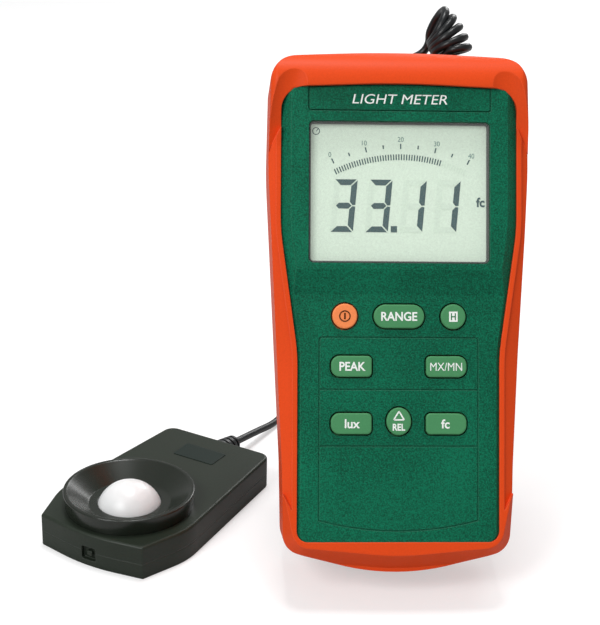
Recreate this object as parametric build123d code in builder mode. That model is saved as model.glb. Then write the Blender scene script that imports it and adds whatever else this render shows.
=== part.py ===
from build123d import *

import os
from math import cos, pi, radians, sin, sqrt, tan

# Hand-held light meter in a rubber holster, leaning back on its tilt stand, with its light
# sensor head lying beside it on a curly lead.
#
# Millimetres. +Z is up and z = 0 is the table. +Y points away from the user, +X to the right.
# The origin is the centre of the table area under the meter and the sensor head.
#
# Two local frames carry the design:
#   METER   u to the right, v up the face from the holster's foot, w out of the face from its back
#   SENSOR  x from the nose towards the lead, y to the left, z up from the table

# ---------------------------------------------------------------- driving dimensions

METER_AT = (35.5, -20.54)  # table position of the holster's heel line, x and y
LEAN = 24.0  # the meter leans this far back from upright, degrees

HOLSTER_DEPTH = 35.0  # height of the lip beside the face, from the back
BAND_DEPTH = 38.0  # height of the thick band over the top
HOLSTER_BACK_WALL = 2.5
HOLSTER_BACK_RADIUS = 4.0
HOLSTER_FRONT_RADIUS = 2.6
BAND_RADIUS = 10.5  # the band rolls over the top with this radius
LIP_WIDTH = 1.5  # raised lip left beside the face
LIP_STEP = 0.6  # step from the lip down to the slanted grip
GRIP_SLANT = 60.0  # degrees from the face axis
BUMPER_SLANT = 33.0

# Outlines, right half from top to bottom: (u, v, corner radius)
HOLSTER_OUTLINE = [
    (0, 157.9, 200),
    (38.7, 155.3, 8.5),
    (39.4, 122, 150),
    (34.8, 32, 150),
    (34.3, 6.9, 6),
    (0, -2.675, 70),
]
FACE_OUTLINE = [(0, 147.1, 300), (35.6, 145.6, 7), (35.6, 103, 60), (30.4, 66, 60), (30.4, 9.7, 3.3)]
CASE_SIDES = [(37.0, 103.5, 60), (31.8, 66, 60), (31.8, 7.4, 5)]
CASE_OUTLINE = [(0, 151.2, 320), (37.0, 150.0, 7)] + CASE_SIDES
# the case is longer at both ends under the holster's band and bumper
CASE_BACK_OUTLINE = [(0, 154.4, 300), (37.0, 153.2, 7)] + CASE_SIDES + [(0, 1.9, 80)]
CASE_LEDGE = 26.0  # w up to which the case has its longer outline
# Ridge of the bottom bumper, and the ends of the slanted grips, right half
BUMPER_RIDGE = [(60, 170, 1), (60, 28, 1), (35.0, 28, 1), (30.8, 8.2, 5.5), (0, 5.3, 80)]
GRIP_ENDS = [(30, 145), (45, 115.4), (45, 43.5), (30, 15.5)]
SCALLOP_RADIUS = 8.0
# Both ends of a scallop's floor: u, v and height over the lip
SCALLOP_AXIS = ((36.4, 126.0, -1.9), (31.8, 149.0, 2.1))

CASE_WALL = 2.0
CASE_SPLIT = 18.5  # w of the joint between the rear and front case
DISPLAY_FACE = 36.5  # w of the raised face round the display
KEYPAD_FACE = 34.8  # w of the lower face with the keys
STEP = (91.1, 83.6)  # v where the slope between the two faces starts and ends
BEVEL_WIDTH = 4.4
BEVEL_DEPTH = 3.7

WINDOW = (54.6, 42.7)
WINDOW_AT = (0, 114.35)
WINDOW_RADIUS = 1.5
FRAME_POCKET = (60.6, 48.6)
FRAME_TOP = 34.6  # w of the front of the display frame
GROOVE_WIDTH = 0.45
GROOVE_DEPTH = 0.35

KEY_TRAVEL = 0.8
KEY_GAP = 0.45  # dark gap round each key
KEY_HEIGHT = 0.9  # how far a key stands above the face
# name: (u, v, width, height, shape)
KEYS = {
    "power": (-16.3, 77.1, 7.5, 7.5, "round"),
    "range": (0.0, 77.1, 15.2, 7.1, "slot"),
    "hold": (16.3, 77.1, 7.5, 7.5, "round"),
    "peak": (-14.25, 62.1, 12.2, 6.3, "left"),
    "max_min": (14.25, 62.1, 12.2, 6.3, "right"),
    "relative": (0.0, 45.7, 7.4, 8.3, "round"),
    "lux": (-14.25, 45.0, 12.2, 6.3, "left"),
    "foot_candle": (14.25, 45.0, 12.2, 6.3, "right"),
}

STAND_HINGE_V = 86.0
STAND_HINGE_W = -3.6
STAND_OPEN = 46.35  # degrees between the open stand and the holster's back
STAND_THICKNESS = 3.0
STAND_HALF_WIDTH = 18.7
STAND_PIN_RADIUS = 1.25
RUNNING_CLEARANCE = 0.05

SENSOR_AT = (-58.2, -23.64)  # table position of the sensor head's nose corner line, middle
SENSOR_HEADING = 57.5  # degrees from +X to the line from nose to lead
SENSOR_HEIGHT = 11.4
SENSOR_SEAM = 5.3
SENSOR_OUTLINE = [(0, 19.8, 0.8), (16.6, 25.5, 25), (74.4, 21.0, 4)]  # (x, y, radius), left half
SENSOR_NOSE = (-3.4, 0, 60)
SENSOR_WALL = 1.8
CUP_AT = 20.5
CUP_RIM_RADIUS = 21.3
CUP_RIM_HEIGHT = 17.0
CUP_FLOOR_RADIUS = 13.2
CUP_FLOOR = 12.0
DOME_RADIUS = 10.1
DOME_HEIGHT = 7.0

LEAD_DIAMETER = 2.6
COIL_DIAMETER = 13.6
LEAD_HEIGHT_AT_SENSOR = 6.4
RELIEF_LENGTH = 9.5

# ---------------------------------------------------------------- frames and helpers


def leaning_plane(origin, lean):
    """Plane whose x runs along +X and whose y axis leans back from upright by lean degrees."""
    return Plane(origin=origin, x_dir=(1, 0, 0), z_dir=(0, -cos(radians(lean)), sin(radians(lean))))


# the heel's rounded edge touches the table, so the sharp corner lies a little below it
HEEL_DROP = HOLSTER_BACK_RADIUS * (cos(radians(LEAN)) + sin(radians(LEAN)) - 1)
METER = leaning_plane((METER_AT[0], METER_AT[1], -HEEL_DROP), LEAN)
SIDE_VIEW = Plane(origin=METER.origin, x_dir=METER.y_dir, z_dir=METER.x_dir)  # its x is v, its y is w
FACE_AXIS = Axis(METER.origin, METER.z_dir)
UP_FACE = Axis(METER.origin, METER.y_dir)

_turn = radians(SENSOR_HEADING)
SENSOR = Plane(origin=(SENSOR_AT[0], SENSOR_AT[1], 0), x_dir=(cos(_turn), sin(_turn), 0), z_dir=(0, 0, 1))


def on_meter(u, v, w):
    return METER.from_local_coords(Vector(u, v, w))


def on_sensor(x, y, z):
    return SENSOR.from_local_coords(Vector(x, y, z))


def meter_cross_plane(v):
    """Plane square to the meter's length at height v: its x is u, its y is -w."""
    return Plane(origin=on_meter(0, v, 0), x_dir=METER.x_dir, z_dir=METER.y_dir)


def mirrored_outline(plane, half, grow=0.0):
    """Closed face, symmetric about the plane's y axis, from (u, v, radius) down its right half."""
    left = [(-u, v, r) for u, v, r in reversed(half) if u > 0]
    corners = half + left
    with BuildSketch(plane) as shape:
        with BuildLine():
            FilletPolyline(*[(u, v) for u, v, r in corners], radius=[r for u, v, r in corners], close=True)
        make_face()
        if grow:
            offset(amount=grow, kind=Kind.INTERSECTION)
    return shape.sketch


def box_face(plane, u, v, width, height, radius=0.0):
    with BuildSketch(plane) as shape:
        with Locations((u, v)):
            if radius:
                RectangleRounded(width, height, radius)
            else:
                Rectangle(width, height)
    return shape.sketch


def disc_face(plane, places, radius):
    with BuildSketch(plane) as shape:
        with Locations(*places):
            Circle(radius)
    return shape.sketch


def key_face(plane, key, grow=0.0):
    """Outline of a key: round, a slot, or with one round end to the left or the right."""
    u, v, width, height, shape = key
    width += 2 * grow
    height += 2 * grow
    with BuildSketch(plane) as face:
        with Locations((u, v)):
            if shape == "round":
                Ellipse(width / 2, height / 2)
            elif shape == "slot":
                SlotOverall(width, height)
            else:
                Rectangle(width, height)
        if shape in ("left", "right"):
            round_end, square_end = (0, -1) if shape == "left" else (-1, 0)
            fillet(face.vertices().group_by(Axis.X)[round_end], height * 0.42)
            fillet(face.vertices().group_by(Axis.X)[square_end], 1.4 + grow)
    return face.sketch


def finish(part, name):
    part.label = name
    export_step(part, f"parts/{name}.step")


os.makedirs("parts", exist_ok=True)

# ---------------------------------------------------------------- meter case envelope

# Outer shape of both case halves together; the holster's pocket has exactly this shape.
with BuildPart() as envelope:
    case_bottom = mirrored_outline(METER.offset(HOLSTER_BACK_WALL), CASE_OUTLINE)
    extrude(case_bottom, amount=DISPLAY_FACE - HOLSTER_BACK_WALL)
    chamfer(envelope.faces().sort_by(FACE_AXIS)[-1].edges(), length=BEVEL_DEPTH, length2=BEVEL_WIDTH)
    ledge_bottom = mirrored_outline(METER.offset(HOLSTER_BACK_WALL), CASE_BACK_OUTLINE)
    extrude(ledge_bottom, amount=CASE_LEDGE - HOLSTER_BACK_WALL)
    fillet(envelope.faces().sort_by(FACE_AXIS)[0].edges(), 2.0)
case_shape = envelope.part

# Space above the keypad face and its slope, cut from the face plane
with BuildPart() as keypad_space:
    with BuildSketch(SIDE_VIEW):
        with BuildLine():
            Polyline(
                (STEP[0], DISPLAY_FACE),
                (STEP[1], KEYPAD_FACE),
                (-1, KEYPAD_FACE),
                (-1, DISPLAY_FACE + 1),
                (STEP[0], DISPLAY_FACE + 1),
                close=True,
            )
        make_face()
    extrude(amount=50, both=True)
keypad_cut = keypad_space.part

# ---------------------------------------------------------------- holster

SOCKET_U = 19.5
SOCKET_W = 13.5
hinge = on_meter(0, STAND_HINGE_V, STAND_HINGE_W)
EAR_THICKNESS = 3.2
EAR_INNER = STAND_HALF_WIDTH + 0.3
EAR_RADIUS = 3.3

# Side view of the holster: level beside the face, then the higher band that rolls over the top
band_top = HOLSTER_OUTLINE[0][1]
with BuildPart() as side_shape:
    with BuildSketch(SIDE_VIEW):
        with BuildLine():
            FilletPolyline(
                (-10, -10),
                (-10, HOLSTER_DEPTH),
                (128.0, HOLSTER_DEPTH),
                (146.5, BAND_DEPTH),
                (band_top, BAND_DEPTH),
                (band_top, -10),
                radius=[1, 1, 14, 8, BAND_RADIUS, 1],
                close=True,
            )
        make_face()
    extrude(amount=60, both=True)
holster_side = side_shape.part

# What is cut away beside the lip: all that stands above the slanted grips
GRIP_FLOOR = 31.0
grip_rise = HOLSTER_DEPTH - LIP_STEP - GRIP_FLOOR
with BuildPart() as grip_space:
    for side in (-1, 1):
        with BuildSketch(METER.offset(GRIP_FLOOR)):
            with BuildLine():
                Polyline(*[(side * u, v) for u, v in GRIP_ENDS], close=True)
            make_face()
        extrude(amount=20)
    grip_plane = METER.offset(GRIP_FLOOR)
    extrude(mirrored_outline(grip_plane, FACE_OUTLINE, LIP_WIDTH), amount=20, mode=Mode.SUBTRACT)
    grip_spread = grip_rise * tan(radians(GRIP_SLANT))
    foot = mirrored_outline(grip_plane, FACE_OUTLINE, LIP_WIDTH + grip_spread)
    extrude(foot, amount=grip_rise, taper=GRIP_SLANT, mode=Mode.SUBTRACT)
grip_cut = grip_space.part

# What is cut away round the bottom bumper: all outside its ridge, down a slant
BUMPER_FLOOR = 28.0
bumper_rise = HOLSTER_DEPTH - BUMPER_FLOOR
with BuildPart() as bumper_space:
    extrude(box_face(METER.offset(BUMPER_FLOOR), 0, 8, 100, 38), amount=20)
    bumper_spread = bumper_rise * tan(radians(BUMPER_SLANT))
    foot = mirrored_outline(METER.offset(BUMPER_FLOOR), BUMPER_RIDGE, bumper_spread)
    extrude(foot, amount=bumper_rise + 3, taper=BUMPER_SLANT, mode=Mode.SUBTRACT)
bumper_cut = bumper_space.part

# The scallops where the band comes down to the lip: round troughs that run out towards the top
with BuildPart() as scallop_space:
    for side in (-1, 1):
        low, high = [
            on_meter(side * u, v, HOLSTER_DEPTH + rise + SCALLOP_RADIUS) for u, v, rise in SCALLOP_AXIS
        ]
        along = (high - low).normalized()
        with BuildSketch(Plane(origin=low - along * 10, z_dir=along)):
            Circle(SCALLOP_RADIUS)
        extrude(amount=40)
    # they end at the slanted top of the grips
    (inner_u, inner_v), (outer_u, outer_v) = GRIP_ENDS[:2]
    with BuildSketch(METER.offset(10)):
        with BuildLine():
            slant = [(outer_u, outer_v), (inner_u, inner_v)]
            below = [(0, 0), (60, 0), (60, outer_v - 20), *slant, (0, inner_v)]
            Polyline(*below, *[(-u, v) for u, v in reversed(below) if u], close=True)
        make_face()
    extrude(amount=60, mode=Mode.SUBTRACT)
scallop_cut = scallop_space.part

with BuildPart() as holster:
    extrude(mirrored_outline(METER, HOLSTER_OUTLINE), amount=BAND_DEPTH)
    fillet(holster.faces().sort_by(FACE_AXIS)[-1].edges(), HOLSTER_FRONT_RADIUS)
    fillet(holster.faces().sort_by(FACE_AXIS)[0].edges(), HOLSTER_BACK_RADIUS)
    add(holster_side, mode=Mode.INTERSECT)
    add(grip_cut, mode=Mode.SUBTRACT)
    add(bumper_cut, mode=Mode.SUBTRACT)
    add(scallop_cut, mode=Mode.SUBTRACT)
    # pocket for the case and the opening over its face
    add(case_shape, mode=Mode.SUBTRACT)
    extrude(mirrored_outline(METER.offset(HOLSTER_DEPTH - 4), FACE_OUTLINE), amount=12, mode=Mode.SUBTRACT)
    # notch in the top of the back wall for the lead's plug
    extrude(box_face(METER.offset(-1), SOCKET_U, 156, 18, 12, 2), amount=22, mode=Mode.SUBTRACT)
    # hinge ears for the tilt stand
    for side in (-1, 1):
        ear_middle = hinge + Vector(side * (EAR_INNER + EAR_THICKNESS / 2), 0, 0)
        ear_plane = Plane(origin=ear_middle, x_dir=METER.y_dir, z_dir=METER.x_dir)
        with BuildSketch(ear_plane):
            Circle(EAR_RADIUS)
            with Locations((0, -STAND_HINGE_W / 2 + 0.5)):
                Rectangle(2 * EAR_RADIUS, -STAND_HINGE_W + 1)
            Circle(STAND_PIN_RADIUS + RUNNING_CLEARANCE, mode=Mode.SUBTRACT)
        extrude(amount=EAR_THICKNESS / 2, both=True)
finish(holster.part, "holster")

# ---------------------------------------------------------------- tilt stand

STAND = leaning_plane(hinge, LEAN - STAND_OPEN)
half_stand = STAND_THICKNESS / 2
foot_radius = half_stand * 0.98
stand_tilt = radians(STAND_OPEN - LEAN)
foot_drop = foot_radius + (half_stand - foot_radius) * sin(stand_tilt)
stand_length = (hinge.Z - foot_drop) / cos(stand_tilt) + foot_radius
FOOT_HALF_WIDTH = 15.0
HEEL = 3.3  # short lip above the hinge that stops the stand when it is open

with BuildPart() as tilt_stand:
    with BuildSketch(STAND.offset(-half_stand)):
        with BuildLine():
            FilletPolyline(
                (-STAND_HALF_WIDTH, HEEL),
                (STAND_HALF_WIDTH, HEEL),
                (STAND_HALF_WIDTH, -16),
                (FOOT_HALF_WIDTH, -stand_length),
                (-FOOT_HALF_WIDTH, -stand_length),
                (-STAND_HALF_WIDTH, -16),
                radius=[0.5, 0.5, 20, 3, 3, 20],
                close=True,
            )
        make_face()
        with Locations((0, -stand_length * 0.55)):
            SlotOverall(stand_length * 0.45, 12, rotation=90, mode=Mode.SUBTRACT)
    extrude(amount=STAND_THICKNESS)
    foot_edges = tilt_stand.edges().filter_by(Axis.X).group_by(Axis.Z)[0]
    fillet(foot_edges, foot_radius)
    with BuildSketch(Plane.YZ.offset(hinge.X)):
        with Locations((hinge.Y, hinge.Z)):
            Circle(3.1)
    extrude(amount=STAND_HALF_WIDTH, both=True)
    with BuildSketch(Plane.YZ.offset(hinge.X)):
        with Locations((hinge.Y, hinge.Z)):
            Circle(STAND_PIN_RADIUS)
    extrude(amount=STAND_HALF_WIDTH + 1, both=True, mode=Mode.SUBTRACT)
finish(tilt_stand.part, "tilt_stand")

PIN_DEPTH = 6.0  # how far each stub pin reaches into the stand
with BuildPart() as stand_pins:
    for side in (-1, 1):
        inner = STAND_HALF_WIDTH - PIN_DEPTH
        with BuildSketch(Plane.YZ.offset(hinge.X + side * inner)):
            with Locations((hinge.Y, hinge.Z)):
                Circle(STAND_PIN_RADIUS)
        extrude(amount=side * (PIN_DEPTH + 0.3 + EAR_THICKNESS))
finish(stand_pins.part, "stand_pins")

# ---------------------------------------------------------------- case

SCREWS_UPPER = [(-31.0, 142.0), (31.0, 142.0)]
SCREWS_LOWER = [(-27.5, 14.0), (27.5, 14.0)]
CASE_SCREWS = SCREWS_UPPER + SCREWS_LOWER
BOSS_RADIUS = 3.2
SCREW_RADIUS = 1.3
SCREW_HEAD_RADIUS = 2.3
SCREW_HEAD_HEIGHT = 1.6
HEAD_SEAT = HOLSTER_BACK_WALL + 3.5  # w of the seat under a screw head
SCREW_TIP = 29.0

case_back = METER.offset(HOLSTER_BACK_WALL)
with BuildPart() as front_case:
    add(case_shape)
    add(keypad_cut, mode=Mode.SUBTRACT)
    # keep what lies in front of the joint
    extrude(box_face(METER.offset(-5), 0, 80, 120, 200), amount=CASE_SPLIT + 5, mode=Mode.SUBTRACT)
    cavity_top = KEYPAD_FACE - CASE_WALL
    # hollow in three steps: under the ledge, up to the bevel, and narrower under the bevel
    low_hollow = mirrored_outline(METER.offset(CASE_SPLIT), CASE_BACK_OUTLINE, -CASE_WALL)
    extrude(low_hollow, amount=CASE_LEDGE - CASE_WALL - CASE_SPLIT, mode=Mode.SUBTRACT)
    wide_hollow = mirrored_outline(METER.offset(CASE_SPLIT), CASE_OUTLINE, -CASE_WALL)
    extrude(wide_hollow, amount=cavity_top - CASE_SPLIT - BEVEL_DEPTH + 1.2, mode=Mode.SUBTRACT)
    narrow_hollow = mirrored_outline(METER.offset(CASE_SPLIT), FACE_OUTLINE, -CASE_WALL - 1.2)
    extrude(narrow_hollow, amount=cavity_top - CASE_SPLIT, mode=Mode.SUBTRACT)
    extrude(disc_face(METER.offset(CASE_SPLIT), CASE_SCREWS, BOSS_RADIUS), amount=cavity_top - CASE_SPLIT)
    pilot_holes = disc_face(METER.offset(CASE_SPLIT), CASE_SCREWS, SCREW_RADIUS)
    extrude(pilot_holes, amount=SCREW_TIP - CASE_SPLIT, mode=Mode.SUBTRACT)
    # display window and the pocket behind it for the display frame
    window_opening = box_face(METER.offset(CASE_SPLIT), *WINDOW_AT, *WINDOW, WINDOW_RADIUS)
    extrude(window_opening, amount=20, mode=Mode.SUBTRACT)
    frame_pocket = box_face(METER.offset(CASE_SPLIT), *WINDOW_AT, *FRAME_POCKET, 1)
    extrude(frame_pocket, amount=FRAME_TOP - CASE_SPLIT, mode=Mode.SUBTRACT)
    # key openings
    for key in KEYS.values():
        extrude(key_face(METER.offset(CASE_SPLIT), key, KEY_GAP), amount=20, mode=Mode.SUBTRACT)
    # moulded panel line round the lower keys, with two cross lines
    panel_w = METER.offset(KEYPAD_FACE - GROOVE_DEPTH)
    PANEL_HALF = 24.1
    PANEL_TOP = 71.0
    PANEL_BOTTOM = 16.0
    with BuildSketch(panel_w):
        with BuildLine():
            FilletPolyline(
                (-PANEL_HALF, PANEL_BOTTOM),
                (-PANEL_HALF, PANEL_TOP),
                (PANEL_HALF, PANEL_TOP),
                (PANEL_HALF, PANEL_BOTTOM),
                radius=1.2,
            )
            ThreePointArc((-PANEL_HALF, PANEL_BOTTOM), (0, PANEL_BOTTOM - 3.2), (PANEL_HALF, PANEL_BOTTOM))
        make_face()
        offset(amount=-GROOVE_WIDTH, mode=Mode.SUBTRACT)
    extrude(amount=1, mode=Mode.SUBTRACT)
    with BuildSketch(panel_w):
        with Locations((0, 55.2), (0, 38.3)):
            Rectangle(2 * PANEL_HALF - GROOVE_WIDTH, GROOVE_WIDTH)
    extrude(amount=1, mode=Mode.SUBTRACT)
    # shallow seat for the name plate, running up under the holster's lip
    NAME_SEAT = (0, 144.0, 55.2, 10.8)
    NAME_SEAT_DEPTH = 0.6
    name_seat = box_face(METER.offset(DISPLAY_FACE - NAME_SEAT_DEPTH), *NAME_SEAT, 0.8)
    extrude(name_seat, amount=2, mode=Mode.SUBTRACT)
finish(front_case.part, "front_case")

BATTERY = (26.5, 46.4, 17.5)  # across, along, thick, without its terminals
BATTERY_V = 11.5
BATTERY_W = 4.9
DOOR = (0, 36.4, 30.4, 53.2)  # u, v, width, height of the battery opening
DOOR_TAB = (0, 66.4, 16, 8)
DOOR_THICKNESS = 1.8
DOOR_SCREW = [(0, 67.0)]
SOCKET_RADIUS = 4.6

with BuildPart() as rear_case:
    add(case_shape)
    extrude(box_face(METER.offset(CASE_SPLIT), 0, 80, 120, 200), amount=30, mode=Mode.SUBTRACT)
    rear_floor = HOLSTER_BACK_WALL + CASE_WALL
    rear_hollow = mirrored_outline(METER.offset(rear_floor), CASE_BACK_OUTLINE, -CASE_WALL)
    extrude(rear_hollow, amount=30, mode=Mode.SUBTRACT)
    extrude(disc_face(case_back, CASE_SCREWS, BOSS_RADIUS), amount=CASE_SPLIT - HOLSTER_BACK_WALL)
    # pad behind the door's screw tab
    extrude(box_face(METER.offset(rear_floor), DOOR_TAB[0], DOOR_TAB[1] + 0.4, 20, 7.5), amount=4)
    extrude(disc_face(METER.offset(-1), CASE_SCREWS, SCREW_RADIUS), amount=30, mode=Mode.SUBTRACT)
    head_wells = disc_face(METER.offset(-1), CASE_SCREWS, SCREW_HEAD_RADIUS + 0.1)
    extrude(head_wells, amount=HEAD_SEAT + 1, mode=Mode.SUBTRACT)
    extrude(box_face(METER, *DOOR, 1.5), amount=10, mode=Mode.SUBTRACT)
    extrude(box_face(METER, *DOOR_TAB, 1), amount=HOLSTER_BACK_WALL + DOOR_THICKNESS, mode=Mode.SUBTRACT)
    extrude(disc_face(METER, DOOR_SCREW, SCREW_RADIUS), amount=8.5, mode=Mode.SUBTRACT)
    # opening for the sensor socket in the top wall
    with BuildSketch(meter_cross_plane(150)):
        with Locations((SOCKET_U, -SOCKET_W)):
            Circle(SOCKET_RADIUS)
    extrude(amount=10, mode=Mode.SUBTRACT)
finish(rear_case.part, "rear_case")


def screws(places, head_w, tip_w):
    """Pan-head screws along the face axis, heads to the back, with a cross recess in each."""
    with BuildPart() as group:
        extrude(disc_face(METER.offset(head_w), places, SCREW_HEAD_RADIUS), amount=SCREW_HEAD_HEIGHT)
        top = group.faces().sort_by(FACE_AXIS)[0 : len(places)]
        fillet(top.edges(), 0.6)
        shanks = disc_face(METER.offset(head_w + SCREW_HEAD_HEIGHT), places, SCREW_RADIUS)
        extrude(shanks, amount=tip_w - head_w - SCREW_HEAD_HEIGHT)
        with BuildSketch(METER.offset(head_w)):
            with Locations(*places):
                Rectangle(2.6, 0.6)
                Rectangle(0.6, 2.6)
        extrude(amount=0.9, mode=Mode.SUBTRACT)
    return group.part


finish(screws(CASE_SCREWS, HEAD_SEAT - SCREW_HEAD_HEIGHT, SCREW_TIP), "case_screws")

head_back = HOLSTER_BACK_WALL + 0.1  # w of the back of the door screw's head
with BuildPart() as battery_door:
    panel = box_face(case_back, DOOR[0], DOOR[1], DOOR[2] - 0.4, DOOR[3] - 0.4, 1.3)
    extrude(panel, amount=DOOR_THICKNESS)
    tab = box_face(case_back, DOOR_TAB[0], DOOR_TAB[1] - 0.7, DOOR_TAB[2] - 0.4, DOOR_TAB[3] + 0.6, 0.8)
    extrude(tab, amount=DOOR_THICKNESS)
    extrude(disc_face(METER, DOOR_SCREW, SCREW_RADIUS + 0.15), amount=10, mode=Mode.SUBTRACT)
    head_well = disc_face(METER, DOOR_SCREW, SCREW_HEAD_RADIUS + 0.1)
    extrude(head_well, amount=head_back + 0.9, mode=Mode.SUBTRACT)
    # finger grip grooves
    with BuildSketch(case_back):
        with GridLocations(0, 2.2, 1, 5):
            with Locations((0, 50)):
                Rectangle(14, 0.8)
    extrude(amount=0.5, mode=Mode.SUBTRACT)
finish(battery_door.part, "battery_door")

with BuildPart() as battery_door_screw:
    extrude(disc_face(METER.offset(head_back), DOOR_SCREW, 2.2), amount=0.9)
    extrude(disc_face(METER.offset(head_back + 0.9), DOOR_SCREW, SCREW_RADIUS), amount=4.5)
    extrude(box_face(METER.offset(head_back), *DOOR_SCREW[0], 2.8, 0.6), amount=0.5, mode=Mode.SUBTRACT)
finish(battery_door_screw.part, "battery_door_screw")

# ---------------------------------------------------------------- display

FRAME_BACK = 31.0
GLASS_BACK = 31.1  # w of the back of the liquid crystal cell

with BuildPart() as display_window:
    pane_size = (WINDOW[0] - 0.5, WINDOW[1] - 0.5)
    pane = box_face(METER.offset(FRAME_TOP + 0.15), *WINDOW_AT, *pane_size, WINDOW_RADIUS - 0.2)
    extrude(pane, amount=1.5)
finish(display_window.part, "display_window")

with BuildPart() as display_frame:
    extrude(box_face(METER.offset(FRAME_BACK), *WINDOW_AT, 60.2, 48.2, 0.8), amount=FRAME_TOP - FRAME_BACK)
    extrude(box_face(METER.offset(FRAME_BACK), *WINDOW_AT, 58.2, 46.2), amount=2.4, mode=Mode.SUBTRACT)
    opening = box_face(METER.offset(FRAME_BACK + 2), *WINDOW_AT, 53.2, 41.3, 0.8)
    extrude(opening, amount=3, mode=Mode.SUBTRACT)
finish(display_frame.part, "display_frame")

with BuildPart() as display_glass:
    extrude(box_face(METER.offset(GLASS_BACK), *WINDOW_AT, 58.0, 46.0), amount=2.2)
finish(display_glass.part, "display_glass")

BOARD_W = 26.0
BOARD_THICKNESS = 1.6
board_top = BOARD_W + BOARD_THICKNESS
with BuildPart() as contact_strips:
    for side in (-1, 1):
        strip = box_face(METER.offset(board_top), 0, WINDOW_AT[1] + side * 21.3, 46, 2.2)
        extrude(strip, amount=GLASS_BACK - board_top)
finish(contact_strips.part, "contact_strips")

with BuildPart() as name_plate:
    seat_floor = METER.offset(DISPLAY_FACE - NAME_SEAT_DEPTH)
    extrude(box_face(seat_floor, NAME_SEAT[0], NAME_SEAT[1], 54.3, 9.9, 0.6), amount=0.5)
    extrude(mirrored_outline(seat_floor, FACE_OUTLINE, -0.35), amount=0.5, mode=Mode.INTERSECT)
finish(name_plate.part, "name_plate")

# ---------------------------------------------------------------- electronics and battery

with BuildPart() as circuit_board:
    extrude(box_face(METER.offset(BOARD_W), 0, 80, 47.6, 134, 1.5), amount=BOARD_THICKNESS)
    board_holes = disc_face(METER, [(-20, 100), (20, 100), (-20, 20), (20, 20)], 1.2)
    extrude(board_holes, amount=40, mode=Mode.SUBTRACT)
finish(circuit_board.part, "circuit_board")


def chip(u, v, width, height, thickness, name):
    """Packaged chip on the back of the board, with its leads as a thin skirt."""
    with BuildPart() as body:
        extrude(box_face(METER.offset(BOARD_W), u, v, width, height), amount=-thickness)
        chamfer(body.faces().sort_by(FACE_AXIS)[0].edges(), 0.25)
        extrude(box_face(METER.offset(BOARD_W), u, v, width + 2, height - 1), amount=-0.3)
    finish(body.part, name)


chip(-7, 112, 14, 14, 1.8, "controller_chip")
chip(13, 96, 8, 6, 1.6, "converter_chip")

with BuildPart() as buzzer:
    extrude(disc_face(METER.offset(BOARD_W), [(-10, 82)], 8.0), amount=-3.6)
    extrude(disc_face(METER.offset(BOARD_W - 3.6), [(-10, 82)], 1.2), amount=1.5, mode=Mode.SUBTRACT)
    fillet(buzzer.faces().sort_by(FACE_AXIS)[0].edges().sort_by(SortBy.LENGTH)[-1], 0.6)
finish(buzzer.part, "buzzer")

key_places = [(key[0], key[1]) for key in KEYS.values()]
inner_face = KEYPAD_FACE - CASE_WALL
key_base = inner_face - 1.8
MAT_TOP = 29.2
MAT_GAP = 0.2  # left between a pressed key and its dome on the mat
with BuildPart() as keypad_mat:
    extrude(box_face(METER.offset(board_top), 0, 61.5, 46, 50, 2), amount=MAT_TOP - board_top)
    domes = disc_face(METER.offset(MAT_TOP), key_places, 2.2)
    extrude(domes, amount=key_base - KEY_TRAVEL - MAT_GAP - MAT_TOP)
finish(keypad_mat.part, "keypad_mat")

with BuildPart() as battery:
    battery_back = box_face(METER.offset(BATTERY_W), 0, BATTERY_V + BATTERY[1] / 2, BATTERY[0], BATTERY[1])
    extrude(battery_back, amount=BATTERY[2])
    fillet(battery.edges().filter_by(UP_FACE), 2.5)
    terminal_plane = meter_cross_plane(BATTERY_V + BATTERY[1])
    terminal_w = BATTERY_W + BATTERY[2] / 2
    with BuildSketch(terminal_plane):
        with Locations((-6.35, -terminal_w), (6.35, -terminal_w)):
            Circle(2.9)
    extrude(amount=2.1)
finish(battery.part, "battery")

with BuildPart() as battery_snap:
    with BuildSketch(meter_cross_plane(BATTERY_V + BATTERY[1] + 0.2)):
        with Locations((0, -terminal_w)):
            RectangleRounded(25, 13, 3)
        with Locations((-6.35, -terminal_w), (6.35, -terminal_w)):
            Circle(3.2, mode=Mode.SUBTRACT)
    extrude(amount=2.1)
    with BuildSketch(meter_cross_plane(BATTERY_V + BATTERY[1] + 2.3)):
        with Locations((0, -terminal_w)):
            RectangleRounded(25, 13, 3)
    extrude(amount=1.2)
finish(battery_snap.part, "battery_snap")

# ---------------------------------------------------------------- keys

KEY_FLANGE = 0.7  # flange wider than the opening, which keeps the key in
for name, key in KEYS.items():
    with BuildPart() as cap:
        extrude(key_face(METER.offset(key_base), key), amount=KEYPAD_FACE + KEY_HEIGHT - key_base)
        fillet(cap.faces().sort_by(FACE_AXIS)[-1].edges(), 0.4)
        extrude(key_face(METER.offset(key_base), key, KEY_GAP + KEY_FLANGE), amount=1.4)
    finish(cap.part, f"key_{name}")

# ---------------------------------------------------------------- socket and plug of the lead

CASE_TOP = 153.6
SOCKET_BOTTOM = 139.4
SOCKET_STEP = 150.9  # v where the socket narrows to pass the top wall
PLUG_RADIUS = 3.0
PLUG_START = 142.4
COLLAR_START = CASE_TOP + 0.2
LEAD_START = 156.4
socket_places = [(SOCKET_U, -SOCKET_W)]

with BuildPart() as sensor_socket:
    barrel = disc_face(meter_cross_plane(SOCKET_BOTTOM), socket_places, 5.6)
    extrude(barrel, amount=SOCKET_STEP - SOCKET_BOTTOM)
    neck = disc_face(meter_cross_plane(SOCKET_STEP), socket_places, SOCKET_RADIUS - 0.05)
    extrude(neck, amount=CASE_TOP - SOCKET_STEP)
    bore = disc_face(meter_cross_plane(PLUG_START), socket_places, PLUG_RADIUS + 0.05)
    extrude(bore, amount=20, mode=Mode.SUBTRACT)
finish(sensor_socket.part, "sensor_socket")

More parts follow.
